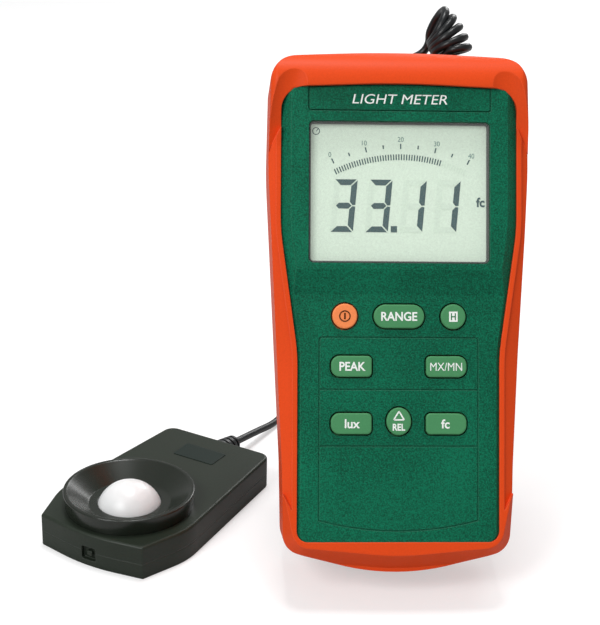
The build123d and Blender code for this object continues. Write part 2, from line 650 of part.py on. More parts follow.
with BuildPart() as lead_plug:
    barrel = disc_face(meter_cross_plane(PLUG_START), socket_places, PLUG_RADIUS)
    extrude(barrel, amount=COLLAR_START - PLUG_START)
    collar = disc_face(meter_cross_plane(COLLAR_START), socket_places, 4.6)
    extrude(collar, amount=LEAD_START - COLLAR_START)
    fillet(lead_plug.faces().sort_by(UP_FACE)[-1].edges(), 0.3)
finish(lead_plug.part, "lead_plug")

# ---------------------------------------------------------------- sensor head


def sensor_outline(plane, grow=0.0):
    """Blunt boat shape: bowed nose, sides widest beside the cup, straight back with round corners."""
    left = SENSOR_OUTLINE
    right = [(x, -y, r) for x, y, r in reversed(left)]
    corners = [SENSOR_NOSE] + left + right
    with BuildSketch(plane) as shape:
        with BuildLine():
            FilletPolyline(*[(x, y) for x, y, r in corners], radius=[r for x, y, r in corners], close=True)
        make_face()
        if grow:
            offset(amount=grow, kind=Kind.INTERSECTION)
    return shape.sketch


def sensor_relief_hole():
    """Face across the sensor's length at its back wall, for the strain relief's neck."""
    back = Plane(origin=on_sensor(66, 0, LEAD_HEIGHT_AT_SENSOR), x_dir=SENSOR.y_dir, z_dir=SENSOR.x_dir)
    return disc_face(back, [(0, 0)], 2.6)


def nose_recess():
    """Face of the small square catch recess in the nose."""
    front = Plane(origin=on_sensor(-1.0, -0.8, 4.6), x_dir=SENSOR.y_dir, z_dir=-SENSOR.x_dir)
    return box_face(front, 0, 0, 5.4, 4.6, 0.7)


SENSOR_POSTS = [(7.5, 13.5), (7.5, -13.5), (64, 14.5), (64, -14.5)]
SENSOR_SCREW_RADIUS = 1.1
SENSOR_HEAD_RADIUS = 2.0
DOME_FLANGE = 11.2

with BuildPart() as sensor_bottom_shell:
    extrude(sensor_outline(SENSOR), amount=SENSOR_SEAM)
    fillet(sensor_bottom_shell.faces().sort_by(Axis.Z)[0].edges(), 0.6)
    extrude(sensor_outline(SENSOR.offset(SENSOR_WALL), -SENSOR_WALL), amount=10, mode=Mode.SUBTRACT)
    extrude(disc_face(SENSOR.offset(SENSOR_WALL), SENSOR_POSTS, 3.0), amount=SENSOR_SEAM - SENSOR_WALL)
    extrude(disc_face(SENSOR, SENSOR_POSTS, SENSOR_SCREW_RADIUS), amount=10, mode=Mode.SUBTRACT)
    extrude(disc_face(SENSOR, SENSOR_POSTS, SENSOR_HEAD_RADIUS + 0.1), amount=2.2, mode=Mode.SUBTRACT)
    extrude(sensor_relief_hole(), amount=10, mode=Mode.SUBTRACT)
    extrude(nose_recess(), amount=4, mode=Mode.SUBTRACT)
finish(sensor_bottom_shell.part, "sensor_bottom_shell")

roof = SENSOR_HEIGHT - SENSOR_WALL
with BuildPart() as sensor_top_shell:
    extrude(sensor_outline(SENSOR.offset(SENSOR_SEAM)), amount=SENSOR_HEIGHT - SENSOR_SEAM)
    fillet(sensor_top_shell.faces().sort_by(Axis.Z)[-1].edges(), 0.9)
    top_hollow = sensor_outline(SENSOR.offset(SENSOR_SEAM), -SENSOR_WALL)
    extrude(top_hollow, amount=roof - SENSOR_SEAM, mode=Mode.SUBTRACT)
    extrude(disc_face(SENSOR.offset(SENSOR_SEAM), SENSOR_POSTS, 3.0), amount=roof - SENSOR_SEAM)
    pilot_holes = disc_face(SENSOR.offset(SENSOR_SEAM), SENSOR_POSTS, SENSOR_SCREW_RADIUS)
    extrude(pilot_holes, amount=3.2, mode=Mode.SUBTRACT)
    dome_opening = disc_face(SENSOR.offset(SENSOR_SEAM), [(CUP_AT, 0)], DOME_FLANGE + 0.2)
    extrude(dome_opening, amount=10, mode=Mode.SUBTRACT)
    extrude(sensor_relief_hole(), amount=10, mode=Mode.SUBTRACT)
    extrude(nose_recess(), amount=4, mode=Mode.SUBTRACT)
finish(sensor_top_shell.part, "sensor_top_shell")

with BuildPart() as sensor_screws:
    extrude(disc_face(SENSOR.offset(0.8), SENSOR_POSTS, SENSOR_HEAD_RADIUS), amount=1.4)
    extrude(disc_face(SENSOR.offset(2.2), SENSOR_POSTS, SENSOR_SCREW_RADIUS), amount=6.0)
    with BuildSketch(SENSOR.offset(0.8)):
        with Locations(*SENSOR_POSTS):
            Rectangle(2.4, 0.5)
            Rectangle(0.5, 2.4)
    extrude(amount=0.7, mode=Mode.SUBTRACT)
finish(sensor_screws.part, "sensor_screws")

cup_axis = Axis(on_sensor(CUP_AT, 0, 0), (0, 0, 1))
cup_profile_plane = Plane(origin=on_sensor(CUP_AT, 0, 0), x_dir=SENSOR.x_dir, z_dir=-SENSOR.y_dir)
RIM_WIDTH = 1.3
CUP_BASE_RADIUS = CUP_RIM_RADIUS - 0.7

with BuildPart() as light_cup:
    with BuildSketch(cup_profile_plane):
        with BuildLine():
            Polyline(
                (DOME_RADIUS + 0.15, SENSOR_HEIGHT),
                (CUP_BASE_RADIUS, SENSOR_HEIGHT),
                (CUP_RIM_RADIUS, CUP_RIM_HEIGHT),
                (CUP_RIM_RADIUS - RIM_WIDTH, CUP_RIM_HEIGHT),
                (CUP_FLOOR_RADIUS, CUP_FLOOR),
                (DOME_RADIUS + 0.15, CUP_FLOOR),
                close=True,
            )
        make_face()
    revolve(axis=cup_axis)
    fillet(light_cup.edges().filter_by(GeomType.CIRCLE).group_by(Axis.Z)[-1], 0.45)
finish(light_cup.part, "light_cup")

# The dome is a spherical cap on a short collar, hollow inside, with a flange under the cup
DOME_WALL = 1.3
dome_sphere = (DOME_RADIUS**2 + DOME_HEIGHT**2) / (2 * DOME_HEIGHT)
dome_centre = CUP_FLOOR + DOME_HEIGHT - dome_sphere
flange_top = SENSOR_HEIGHT - 0.05
flange_bottom = SENSOR_HEIGHT - 1.0


def dome_point(radius, height):
    """Point of a circle about the dome's centre, in the profile plane."""
    return (sqrt(radius**2 - (height - dome_centre) ** 2), height)


inner_sphere = dome_sphere - DOME_WALL
with BuildPart() as diffuser_dome:
    with BuildSketch(cup_profile_plane):
        with BuildLine():
            outer_arc = ThreePointArc(
                (0, CUP_FLOOR + DOME_HEIGHT),
                dome_point(dome_sphere, CUP_FLOOR + DOME_HEIGHT * 0.6),
                (DOME_RADIUS, CUP_FLOOR),
            )
            inner_arc = ThreePointArc(
                dome_point(inner_sphere, flange_bottom),
                dome_point(inner_sphere, CUP_FLOOR + DOME_HEIGHT * 0.5),
                (0, CUP_FLOOR + DOME_HEIGHT - DOME_WALL),
            )
            Polyline(
                outer_arc @ 1,
                (DOME_RADIUS, flange_top),
                (DOME_FLANGE, flange_top),
                (DOME_FLANGE, flange_bottom),
                inner_arc @ 0,
            )
            Line(inner_arc @ 1, outer_arc @ 0)
        make_face()
    revolve(axis=cup_axis)
finish(diffuser_dome.part, "diffuser_dome")

BOARD_Z = 3.6
with BuildPart() as sensor_board:
    extrude(box_face(SENSOR.offset(BOARD_Z), 31, 0, 38, 30, 1), amount=1.2)
finish(sensor_board.part, "sensor_board")

with BuildPart() as photodiode:
    extrude(disc_face(SENSOR.offset(BOARD_Z + 1.2), [(CUP_AT, 0)], 4.6), amount=0.5)
    extrude(disc_face(SENSOR.offset(BOARD_Z + 1.7), [(CUP_AT, 0)], 4.1), amount=2.4)
    extrude(disc_face(SENSOR.offset(BOARD_Z + 3.6), [(CUP_AT, 0)], 2.9), amount=1, mode=Mode.SUBTRACT)
finish(photodiode.part, "photodiode")

with BuildPart() as filter_holder:
    extrude(disc_face(SENSOR.offset(BOARD_Z + 1.2), [(CUP_AT, 0)], 7.4), amount=5.4)
    extrude(disc_face(SENSOR.offset(BOARD_Z + 1.2), [(CUP_AT, 0)], 4.9), amount=8, mode=Mode.SUBTRACT)
    extrude(disc_face(SENSOR.offset(BOARD_Z + 5.1), [(CUP_AT, 0)], 6.0), amount=8, mode=Mode.SUBTRACT)
finish(filter_holder.part, "filter_holder")

with BuildPart() as correction_filter:
    extrude(disc_face(SENSOR.offset(BOARD_Z + 5.1), [(CUP_AT, 0)], 5.95), amount=1.4)
finish(correction_filter.part, "correction_filter")

with BuildPart() as sensor_label:
    extrude(box_face(SENSOR.offset(SENSOR_HEIGHT), 61.5, 0, 9.0, 16.0, 0.6), amount=0.15)
finish(sensor_label.part, "sensor_label")

with BuildPart() as nose_catch:
    catch_front = Plane(origin=on_sensor(-1.0, -0.8, 4.4), x_dir=SENSOR.y_dir, z_dir=-SENSOR.x_dir)
    extrude(box_face(catch_front, 0, 0, 2.0, 1.8, 0.4), amount=1.1)
    fillet(nose_catch.faces().sort_by(Axis(on_sensor(0, 0, 0), -SENSOR.x_dir))[-1].edges(), 0.4)
finish(nose_catch.part, "nose_catch")

# Strain relief: a flange inside the wall, a neck through it and a ribbed taper outside
back_wall = SENSOR_OUTLINE[-1][0]
relief_end = back_wall + RELIEF_LENGTH
relief_axis = Axis(on_sensor(0, 0, LEAD_HEIGHT_AT_SENSOR), SENSOR.x_dir)
relief_plane = Plane(origin=on_sensor(0, 0, LEAD_HEIGHT_AT_SENSOR), x_dir=SENSOR.x_dir, z_dir=-SENSOR.y_dir)
RIB_COUNT = 3
RELIEF_RADII = (4.5, 2.9)
with BuildPart() as sensor_strain_relief:
    with BuildSketch(relief_plane):
        with BuildLine():
            inside = back_wall - SENSOR_WALL
            Polyline(
                (inside - 1.6, 0),
                (inside - 1.6, 3.1),
                (inside - 0.05, 3.1),
                (inside - 0.05, 2.55),
                (back_wall + 0.05, 2.55),
                (back_wall + 0.05, RELIEF_RADII[0]),
                (relief_end - 0.6, RELIEF_RADII[1]),
                (relief_end, RELIEF_RADII[1] - 0.6),
                (relief_end, 0),
                close=True,
            )
        make_face()
    revolve(axis=relief_axis)
    # grooves between the ribs
    pitch = RELIEF_LENGTH / (RIB_COUNT + 0.6)
    with BuildSketch(relief_plane):
        for rib in range(RIB_COUNT):
            x = back_wall + pitch * (rib + 0.8)
            along = (x - back_wall) / RELIEF_LENGTH
            radius = RELIEF_RADII[0] + (RELIEF_RADII[1] - RELIEF_RADII[0]) * along
            with Locations((x, radius)):
                Rectangle(pitch * 0.36, 1.8)
    revolve(axis=relief_axis, mode=Mode.SUBTRACT)
finish(sensor_strain_relief.part, "sensor_strain_relief")

# ---------------------------------------------------------------- lead


def lead_route(points):
    """Straight runs joined by the largest tangent arcs that both runs allow, and the arcs' radii."""
    spots = [Vector(*p) for p in points]
    radii = []
    for before, corner, after in zip(spots, spots[1:], spots[2:]):
        run_in = corner - before
        run_out = after - corner
        turn = run_in.get_angle(run_out)
        radii.append(0.45 * min(run_in.length, run_out.length) / tan(radians(turn / 2)))
    return radii


def lead_tube(points, diameter, name):
    radii = lead_route(points)
    with BuildPart() as tube:
        with BuildLine():
            route = FilletPolyline(*points, radius=radii)
        with BuildSketch(Plane(origin=route @ 0, z_dir=route % 0)):
            Circle(diameter / 2)
        sweep()
    length = route.length
    expected = length * pi * diameter**2 / 4
    print(name, "radii", [round(r, 1) for r in radii], "length", round(length, 1))
    print(name, "volume over section times length", round(tube.part.volume / expected, 4))
    finish(tube.part, name)
    return length


# The curly part rises out of the plug, arches back over the holster and hangs behind it;
# below it the plain tail turns on the table and runs to the sensor head.
MX, MY = METER_AT
plug_top = on_meter(SOCKET_U, LEAD_START, SOCKET_W)
COIL_POINTS = [
    tuple(plug_top),
    tuple(on_meter(SOCKET_U, LEAD_START + 4.0, SOCKET_W)),
    (MX + 19.2, MY + 56.2, 154.2),
    (MX + 18.2, MY + 61.3, 156.4),
    (MX + 16.2, MY + 67.0, 156.1),
    (MX + 12.8, MY + 72.7, 152.5),
    (MX + 9.0, MY + 77.1, 145.4),
    (MX + 6.9, MY + 80.2, 134.4),
    (MX + 6.0, MY + 82.2, 118.5),
    (MX + 5.4, MY + 82.5, 99.5),
    (MX + 6.1, MY + 83.0, 79.5),
    (MX + 5.5, MY + 82.4, 60.0),
    (MX + 6.0, MY + 82.9, 41.5),
    (MX + 5.2, MY + 83.3, 24.0),
]
coil_end = Vector(*COIL_POINTS[-1])
coil_direction = (coil_end - Vector(*COIL_POINTS[-2])).normalized()
relief_tip = on_sensor(relief_end + 0.3, 0, LEAD_HEIGHT_AT_SENSOR)
TAIL_POINTS = [
    tuple(coil_end),
    tuple(coil_end + coil_direction * 10),
    (MX + 3.0, MY + 89.0, 5.0),
    (MX - 1.5, MY + 98.0, 1.45),
    (MX - 10.0, MY + 107.0, 1.4),
    (MX - 20.5, MY + 109.5, 1.4),
    (MX - 29.0, MY + 103.0, 1.4),
    (MX - 33.5, MY + 92.5, 1.6),
    (MX - 40.0, MY + 82.0, 3.8),
    tuple(relief_tip),
]
lead_tube(COIL_POINTS, COIL_DIAMETER, "lead_coil")
lead_tube(TAIL_POINTS, LEAD_DIAMETER, "lead_tail")
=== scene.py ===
from math import cos, pi, radians, sin

import bmesh
import bpy
import numpy as np
from mathutils import Matrix, Vector


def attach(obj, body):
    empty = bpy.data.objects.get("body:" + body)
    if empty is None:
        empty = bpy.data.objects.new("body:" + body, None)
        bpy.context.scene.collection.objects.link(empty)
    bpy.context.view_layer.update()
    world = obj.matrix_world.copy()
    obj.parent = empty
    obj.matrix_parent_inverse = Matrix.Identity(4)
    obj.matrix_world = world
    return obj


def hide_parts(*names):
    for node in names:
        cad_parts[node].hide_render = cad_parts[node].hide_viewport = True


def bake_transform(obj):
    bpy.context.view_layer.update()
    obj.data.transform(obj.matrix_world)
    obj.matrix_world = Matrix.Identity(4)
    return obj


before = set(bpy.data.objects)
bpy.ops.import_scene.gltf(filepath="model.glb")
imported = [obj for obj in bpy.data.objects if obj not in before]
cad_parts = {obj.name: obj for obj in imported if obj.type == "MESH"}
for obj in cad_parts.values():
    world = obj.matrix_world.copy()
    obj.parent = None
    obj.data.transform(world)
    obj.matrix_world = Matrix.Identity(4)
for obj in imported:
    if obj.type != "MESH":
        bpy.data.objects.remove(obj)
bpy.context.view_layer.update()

# Hand-held light meter in a rubber holster on its tilt stand, with its light sensor head beside
# it on a curly lead. Metres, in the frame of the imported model: z = 0 is the table.

MM = 0.001

# ---------------------------------------------------------------- frames of the two housings

METER_AT = Vector((35.5, -20.54, 0)) * MM
LEAN = radians(24.0)
BACK_RADIUS = 4.0 * MM
HEEL_DROP = BACK_RADIUS * (cos(LEAN) + sin(LEAN) - 1)
SENSOR_AT = Vector((-58.2, -23.64, 0)) * MM
SENSOR_HEADING = radians(57.5)

U_AXIS = Vector((1, 0, 0))
V_AXIS = Vector((0, sin(LEAN), cos(LEAN)))
W_AXIS = Vector((0, -cos(LEAN), sin(LEAN)))
METER_ORIGIN = METER_AT - Vector((0, 0, HEEL_DROP))
METER_MATRIX = Matrix.Translation(METER_ORIGIN) @ Matrix((U_AXIS, V_AXIS, W_AXIS)).transposed().to_4x4()

X_AXIS = Vector((cos(SENSOR_HEADING), sin(SENSOR_HEADING), 0))
Y_AXIS = Vector((-sin(SENSOR_HEADING), cos(SENSOR_HEADING), 0))
SENSOR_TURN = Matrix((X_AXIS, Y_AXIS, Vector((0, 0, 1)))).transposed().to_4x4()
SENSOR_MATRIX = Matrix.Translation(SENSOR_AT) @ SENSOR_TURN


def on_meter(u, v, w):
    """Point of the meter's frame, in millimetres: u right, v up the face, w out of the face."""
    return METER_MATRIX @ (Vector((u, v, w)) * MM)


def on_sensor(x, y, z):
    """Point of the sensor head's frame, in millimetres: x nose to lead, y left, z up."""
    return SENSOR_MATRIX @ (Vector((x, y, z)) * MM)


# ---------------------------------------------------------------- camera

CAMERA_AT = Vector((-16.0, -435.71, 252.2)) * MM
LOOK_DOWN = radians(22.0)
LOOK_RIGHT = radians(3.008)
ROLL = radians(1.478)
LENS = 86.4

forward = Vector((sin(LOOK_RIGHT) * cos(LOOK_DOWN), cos(LOOK_RIGHT) * cos(LOOK_DOWN), -sin(LOOK_DOWN)))
level = Vector((cos(LOOK_RIGHT), -sin(LOOK_RIGHT), 0))
upright = level.cross(forward)
camera_right = level * cos(ROLL) + upright * sin(ROLL)
camera_up = upright * cos(ROLL) - level * sin(ROLL)
camera_data = bpy.data.cameras.new("camera")
camera_data.lens = LENS
camera_data.sensor_width = 36.0
camera_data.clip_start = 0.01
camera_data.clip_end = 20.0
camera = bpy.data.objects.new("camera", camera_data)
camera_turn = Matrix((camera_right, camera_up, -forward)).transposed().to_4x4()
camera.matrix_world = Matrix.Translation(CAMERA_AT) @ camera_turn
bpy.context.collection.objects.link(camera)
bpy.context.scene.camera = camera

# ---------------------------------------------------------------- cord

WIRE = 2.6 * MM
COIL_RADIUS = 5.5 * MM  # from the coil's axis to the middle of the wire
SOCKET_U = 19.5
SOCKET_W = 13.5
LEAD_START = 156.4
RELIEF_END = 83.9
LEAD_HEIGHT_AT_SENSOR = 6.4
MX, MY = METER_AT.x / MM, METER_AT.y / MM

plug_top = on_meter(SOCKET_U, LEAD_START, SOCKET_W)
COIL_POINTS = [
    plug_top,
    on_meter(SOCKET_U, LEAD_START + 4.0, SOCKET_W),
    Vector((MX + 18.4, MY + 55.6, 154.0)) * MM,
    Vector((MX + 16.6, MY + 60.2, 157.2)) * MM,
    Vector((MX + 14.6, MY + 65.8, 158.8)) * MM,
    Vector((MX + 11.4, MY + 71.6, 156.0)) * MM,
    Vector((MX + 7.0, MY + 76.6, 146.6)) * MM,
    Vector((MX + 6.4, MY + 80.2, 134.4)) * MM,
    Vector((MX + 6.0, MY + 82.2, 118.5)) * MM,
    Vector((MX + 5.4, MY + 82.5, 99.5)) * MM,
    Vector((MX + 6.1, MY + 83.0, 79.5)) * MM,
    Vector((MX + 5.5, MY + 82.4, 60.0)) * MM,
    Vector((MX + 6.0, MY + 82.9, 41.5)) * MM,
    Vector((MX + 5.2, MY + 83.3, 24.0)) * MM,
]
coil_end = COIL_POINTS[-1]
coil_direction = (coil_end - COIL_POINTS[-2]).normalized()
relief_tip = on_sensor(RELIEF_END - 1.0, 0, LEAD_HEIGHT_AT_SENSOR)
TAIL_POINTS = [
    coil_end,
    coil_end + coil_direction * 10 * MM,
    Vector((MX + 3.0, MY + 89.0, 5.0)) * MM,
    Vector((MX - 1.5, MY + 98.0, 1.45)) * MM,
    Vector((MX - 10.0, MY + 107.0, 1.4)) * MM,
    Vector((MX - 20.5, MY + 109.5, 1.4)) * MM,
    Vector((MX - 29.0, MY + 103.0, 1.4)) * MM,
    Vector((MX - 33.5, MY + 92.5, 1.6)) * MM,
    Vector((MX - 40.0, MY + 82.0, 3.8)) * MM,
    relief_tip,
]


def nurbs(name, points, resolution=24):
    """Open NURBS curve that starts and ends on its first and last control point."""
    data = bpy.data.curves.new(name, "CURVE")
    data.dimensions = "3D"
    spline = data.splines.new("NURBS")
    spline.points.add(len(points) - 1)
    for spot, point in zip(spline.points, points):
        spot.co = (*point, 1)
    spline.order_u = 3
    spline.use_endpoint_u = True
    spline.resolution_u = resolution
    curve = bpy.data.objects.new(name, data)
    bpy.context.collection.objects.link(curve)
    return curve


def line_of(curve):
    """Points along a curve that has no bevel."""
    bpy.context.view_layer.update()
    mesh = bpy.data.meshes.new_from_object(curve)
    points = [v.co.copy() for v in mesh.vertices]
    bpy.data.meshes.remove(mesh)
    return points


def drop(thing):
    data = thing.data
    bpy.data.objects.remove(thing)
    if isinstance(data, bpy.types.Mesh):
        bpy.data.meshes.remove(data)
    else:
        bpy.data.curves.remove(data)


def running_length(points):
    total = [0.0]
    for a, b in zip(points, points[1:]):
        total.append(total[-1] + (b - a).length)
    return total


# The turns of the curly cord. Each table runs over the number of turns from the plug.
# distance: how far along the coil's axis that turn is, in millimetres. A fan of turns stands out
# of the plug, the wire is pulled open behind the holster, and then the coil hangs down.
DISTANCE = [
    (0.0, 3.4), (0.75, 5.4), (1.75, 8.1), (4.75, 17.1), (4.95, 18.0), (5.15, 20.5), (5.35, 37.0),
    (5.6, 39.6), (6.0, 41.0), (6.6, 43.0), (40.5, 145.0), (42.3, 156.0),
]
# finger: the way a turn's long side points, in degrees from +X towards the top of the meter
FINGER = [
    (0, 5), (0.75, 14), (1.75, 24), (2.75, 36), (3.75, 50), (4.75, 67), (5.05, 74), (5.4, 180), (50, 180),
]
# swing: how far a turn's front leans along the coil, as a slope
SWING = [(0, 0), (2.5, 0), (4.75, -0.08), (5.4, 0), (50, 0)]
# hanging: 0 while a turn stands square to the meter's face, 1 once it lies level
HANGING = [(0, 0), (5.0, 0), (5.5, 1), (50, 1)]
REACH = 0.16  # each table is averaged over this many turns to either side
AVERAGED_OVER = 4
FIRST_ANGLE = radians(180)
POINTS_PER_TURN = 16
WIDEN = 0.5  # turns in which the wire swings out from the plug to its full circle
NARROW = 1.8
STRAIGHT_START = 2.6 * MM
CONTROL_GROW = 1 / cos(pi / POINTS_PER_TURN)  # control points lie outside the curve they shape


def look_up(table, x):
    for (x0, y0), (x1, y1) in zip(table, table[1:]):
        if x <= x1:
            return y0 + (y1 - y0) * (max(x, x0) - x0) / (x1 - x0)
    return table[-1][1]


def evened(table, x):
    steps = range(-AVERAGED_OVER, AVERAGED_OVER + 1)
    return sum(look_up(table, x + REACH * k / AVERAGED_OVER) for k in steps) / len(steps)


def point_along(points, lengths, distance):
    for i in range(len(lengths) - 1):
        if lengths[i + 1] >= distance:
            part = (distance - lengths[i]) / max(lengths[i + 1] - lengths[i], 1e-9)
            return points[i].lerp(points[i + 1], max(part, 0))
    return points[-1]


def helix_points(axis_line):
    """Control points of the wire round the coil's axis line."""
    lengths = running_length(axis_line)
    scale = lengths[-1] / DISTANCE[-1][1]
    total = DISTANCE[-1][0]
    points = [axis_line[0], axis_line[0] + V_AXIS * STRAIGHT_START]
    # the first steps are wider, so that the wire leaves the straight start gently
    steps = [3, 5] + list(range(7, int(total * POINTS_PER_TURN) + 1))
    for step in steps:
        turn = step / POINTS_PER_TURN
        finger = radians(evened(FINGER, turn))
        level = look_up(HANGING, turn)
        level = level * level * (3 - 2 * level)
        along = V_AXIS * cos(finger) - U_AXIS * sin(finger)
        front = (W_AXIS + along * look_up(SWING, turn)) * (1 - level) + Vector((0, -level, 0))
        front.normalize()
        side = U_AXIS * cos(finger) + V_AXIS * sin(finger)
        side = (side - front * side.dot(front)).normalized()
        angle = FIRST_ANGLE + 2 * pi * turn
        narrowing = min(1, (total - turn) / NARROW)
        widening = sin(pi / 2 * min(1, turn / WIDEN))
        radius = COIL_RADIUS * CONTROL_GROW * widening * narrowing * narrowing * (3 - 2 * narrowing)
        centre = point_along(axis_line, lengths, evened(DISTANCE, turn) * scale)
        points.append(centre + (front * cos(angle) + side * sin(angle)) * radius)
    return points


LEAST_BEND = 5.35 * MM
EASE_SPACING = 0.5 * MM
EASE_ROUNDS = 14
EASE_STEPS = 400
KEPT_STRAIGHT = 5  # points at either end that stay where they are


def spaced(line):
    """The line at even spacing, close to EASE_SPACING."""
    lengths = np.concatenate([[0], np.cumsum(np.linalg.norm(np.diff(line, axis=0), axis=1))])
    places = np.linspace(0, lengths[-1], round(lengths[-1] / EASE_SPACING) + 1)
    return np.column_stack([np.interp(places, lengths, line[:, k]) for k in range(3)])


def eased(points):
    """The line with its tight bends opened to LEAST_BEND, by spreading them to either side."""
    line = np.array([tuple(p) for p in points])
    most = EASE_SPACING ** 2 / (2 * LEAST_BEND)
    for _ in range(EASE_ROUNDS):
        line = spaced(line)
        for _ in range(EASE_STEPS):
            sag = (line[:-2] + line[2:]) / 2 - line[1:-1]
            size = np.linalg.norm(sag, axis=1, keepdims=True)
            push = sag * np.clip(1 - most / np.maximum(size, 1e-12), 0, None) * 0.5
            change = np.zeros_like(line)
            change[1:-1] += push
            change[:-2] -= push / 2
            change[2:] -= push / 2
            change[:KEPT_STRAIGHT] = 0
            change[-KEPT_STRAIGHT:] = 0
            line = line + change
    return [Vector(p) for p in spaced(line).tolist()]


def chain(name, points):
    """A curve straight from point to point."""
    data = bpy.data.curves.new(name, "CURVE")
    data.dimensions = "3D"
    spline = data.splines.new("POLY")
    spline.points.add(len(points) - 1)
    for spot, point in zip(spline.points, points):
        spot.co = (*point, 1)
    curve = bpy.data.objects.new(name, data)
    bpy.context.collection.objects.link(curve)
    return curve


coil_route = nurbs("coil_route", COIL_POINTS)
coil_line = line_of(coil_route)
drop(coil_route)
wire_points = helix_points(coil_line) + TAIL_POINTS[1:]
wire_route = nurbs("wire_route", wire_points, resolution=4)
wire_line = eased(line_of(wire_route))
drop(wire_route)
wire = chain("wire", wire_line[::2] + wire_line[-1:])
wire.data.bevel_depth = WIRE / 2
wire.data.bevel_resolution = 3
wire.data.use_fill_caps = True
bpy.context.view_layer.update()
cord_mesh = bpy.data.meshes.new_from_object(wire)
cord_mesh.name = "curly_cord"
drop(wire)
cord = bpy.data.objects.new("curly_cord", cord_mesh)
bpy.context.collection.objects.link(cord)
for face in cord_mesh.polygons:
    face.use_smooth = True
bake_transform(cord)
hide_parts("lead_coil", "lead_tail")
# ---------------------------------------------------------------- materials


def new_material(name):
    material = bpy.data.materials.new(name)
    material.use_nodes = True
    nodes = material.node_tree.nodes
    return material, nodes, material.node_tree.links, nodes["Principled BSDF"]


def shade_of(colour, factor):
    return (colour[0] * factor, colour[1] * factor, colour[2] * factor, 1)


# Edges are painted paler: partly wear, partly a painted highlight where a rounded edge would catch the light.
EDGE_PALER = 1.35
EDGE_LIFT = 0.03
EDGE_RADIUS = 0.5 * MM  # how round the edges of the mouldings look


def moulded(
    name, colour, roughness, grain, depth, mottle=0.12, spread=0.08, edge_wear_and_highlight=0.0, shine=0.5, contrast=0.15,
    edge_radius=EDGE_RADIUS,
):
    """Moulded plastic or rubber: mottled colour, uneven gloss, surface grain, and edges painted paler,
    partly as wear and partly as a painted highlight along them.

    grain is the size of the surface grain and depth its height, both in metres. edge_wear_and_highlight is
    how much paler the edges are painted, part wear and part painted highlight."""
    material, nodes, links, shader = new_material(name)
    place = nodes.new("ShaderNodeTexCoord")

    speckle = nodes.new("ShaderNodeTexNoise")
    speckle.inputs["Scale"].default_value = 1 / grain
    speckle.inputs["Detail"].default_value = 3.0
    links.new(place.outputs["Object"], speckle.inputs["Vector"])
    clouds = nodes.new("ShaderNodeTexNoise")
    clouds.inputs["Scale"].default_value = 1 / 0.03
    clouds.inputs["Detail"].default_value = 4.0
    links.new(place.outputs["Object"], clouds.inputs["Vector"])

    tone = nodes.new("ShaderNodeMix")
    tone.data_type = "FLOAT"
    tone.inputs[0].default_value = 0.25
    links.new(speckle.outputs["Fac"], tone.inputs[2])
    links.new(clouds.outputs["Fac"], tone.inputs[3])
    ramp = nodes.new("ShaderNodeValToRGB")
    ramp.color_ramp.elements[0].position = 0.5 - contrast
    ramp.color_ramp.elements[1].position = 0.5 + contrast
    ramp.color_ramp.elements[0].color = shade_of(colour, 1 - mottle)
    ramp.color_ramp.elements[1].color = shade_of(colour, 1 + mottle)
    links.new(tone.outputs[0], ramp.inputs[0])
    colour_out = ramp.outputs[0]
    if edge_radius:
        rounded = nodes.new("ShaderNodeBevel")
        rounded.samples = 6
        rounded.inputs["Radius"].default_value = edge_radius
    # Edge mask from the rounded normal against the true normal. The edges get a paler colour, part wear and
    # part painted highlight.
    if edge_wear_and_highlight:
        geometry = nodes.new("ShaderNodeNewGeometry")
        agree = nodes.new("ShaderNodeVectorMath")
        agree.operation = "DOT_PRODUCT"
        links.new(geometry.outputs["Normal"], agree.inputs[0])
        links.new(rounded.outputs[0], agree.inputs[1])
        edge = nodes.new("ShaderNodeMapRange")
        edge.inputs["From Min"].default_value = 0.995
        edge.inputs["From Max"].default_value = 0.90
        edge.inputs["To Max"].default_value = edge_wear_and_highlight
        links.new(agree.outputs["Value"], edge.inputs["Value"])
        paler_edge_mix = nodes.new("ShaderNodeMix")
        paler_edge_mix.data_type = "RGBA"
        paler_edge_mix.inputs[7].default_value = (*[min(1, c * EDGE_PALER + EDGE_LIFT) for c in colour], 1)
        links.new(edge.outputs[0], paler_edge_mix.inputs[0])
        links.new(colour_out, paler_edge_mix.inputs[6])
        colour_out = paler_edge_mix.outputs[2]
    links.new(colour_out, shader.inputs["Base Color"])

    gloss = nodes.new("ShaderNodeMapRange")
    gloss.inputs["To Min"].default_value = roughness - spread
    gloss.inputs["To Max"].default_value = roughness + spread
    links.new(clouds.outputs["Fac"], gloss.inputs["Value"])
    links.new(gloss.outputs[0], shader.inputs["Roughness"])

    bump = nodes.new("ShaderNodeBump")
    bump.inputs["Strength"].default_value = 1.0
    bump.inputs["Distance"].default_value = depth
    links.new(speckle.outputs["Fac"], bump.inputs["Height"])
    if edge_radius:
        links.new(rounded.outputs[0], bump.inputs["Normal"])
    links.new(bump.outputs["Normal"], shader.inputs["Normal"])
    shader.inputs["Specular IOR Level"].default_value = shine
    return material


def clear(name, tint, roughness, cover):
    """Clear plastic: shiny, mostly see-through, with a trace of smears in its gloss."""
    material, nodes, links, shader = new_material(name)
    shader.inputs["Base Color"].default_value = (*tint, 1)
    shader.inputs["Alpha"].default_value = cover
    shader.inputs["IOR"].default_value = 1.45
    place = nodes.new("ShaderNodeTexCoord")
    smears = nodes.new("ShaderNodeTexNoise")
    smears.inputs["Scale"].default_value = 90
    links.new(place.outputs["Object"], smears.inputs["Vector"])
    gloss = nodes.new("ShaderNodeMapRange")
    gloss.inputs["To Min"].default_value = roughness
    gloss.inputs["To Max"].default_value = roughness + 0.06
    links.new(smears.outputs["Fac"], gloss.inputs["Value"])
    links.new(gloss.outputs[0], shader.inputs["Roughness"])
    return material


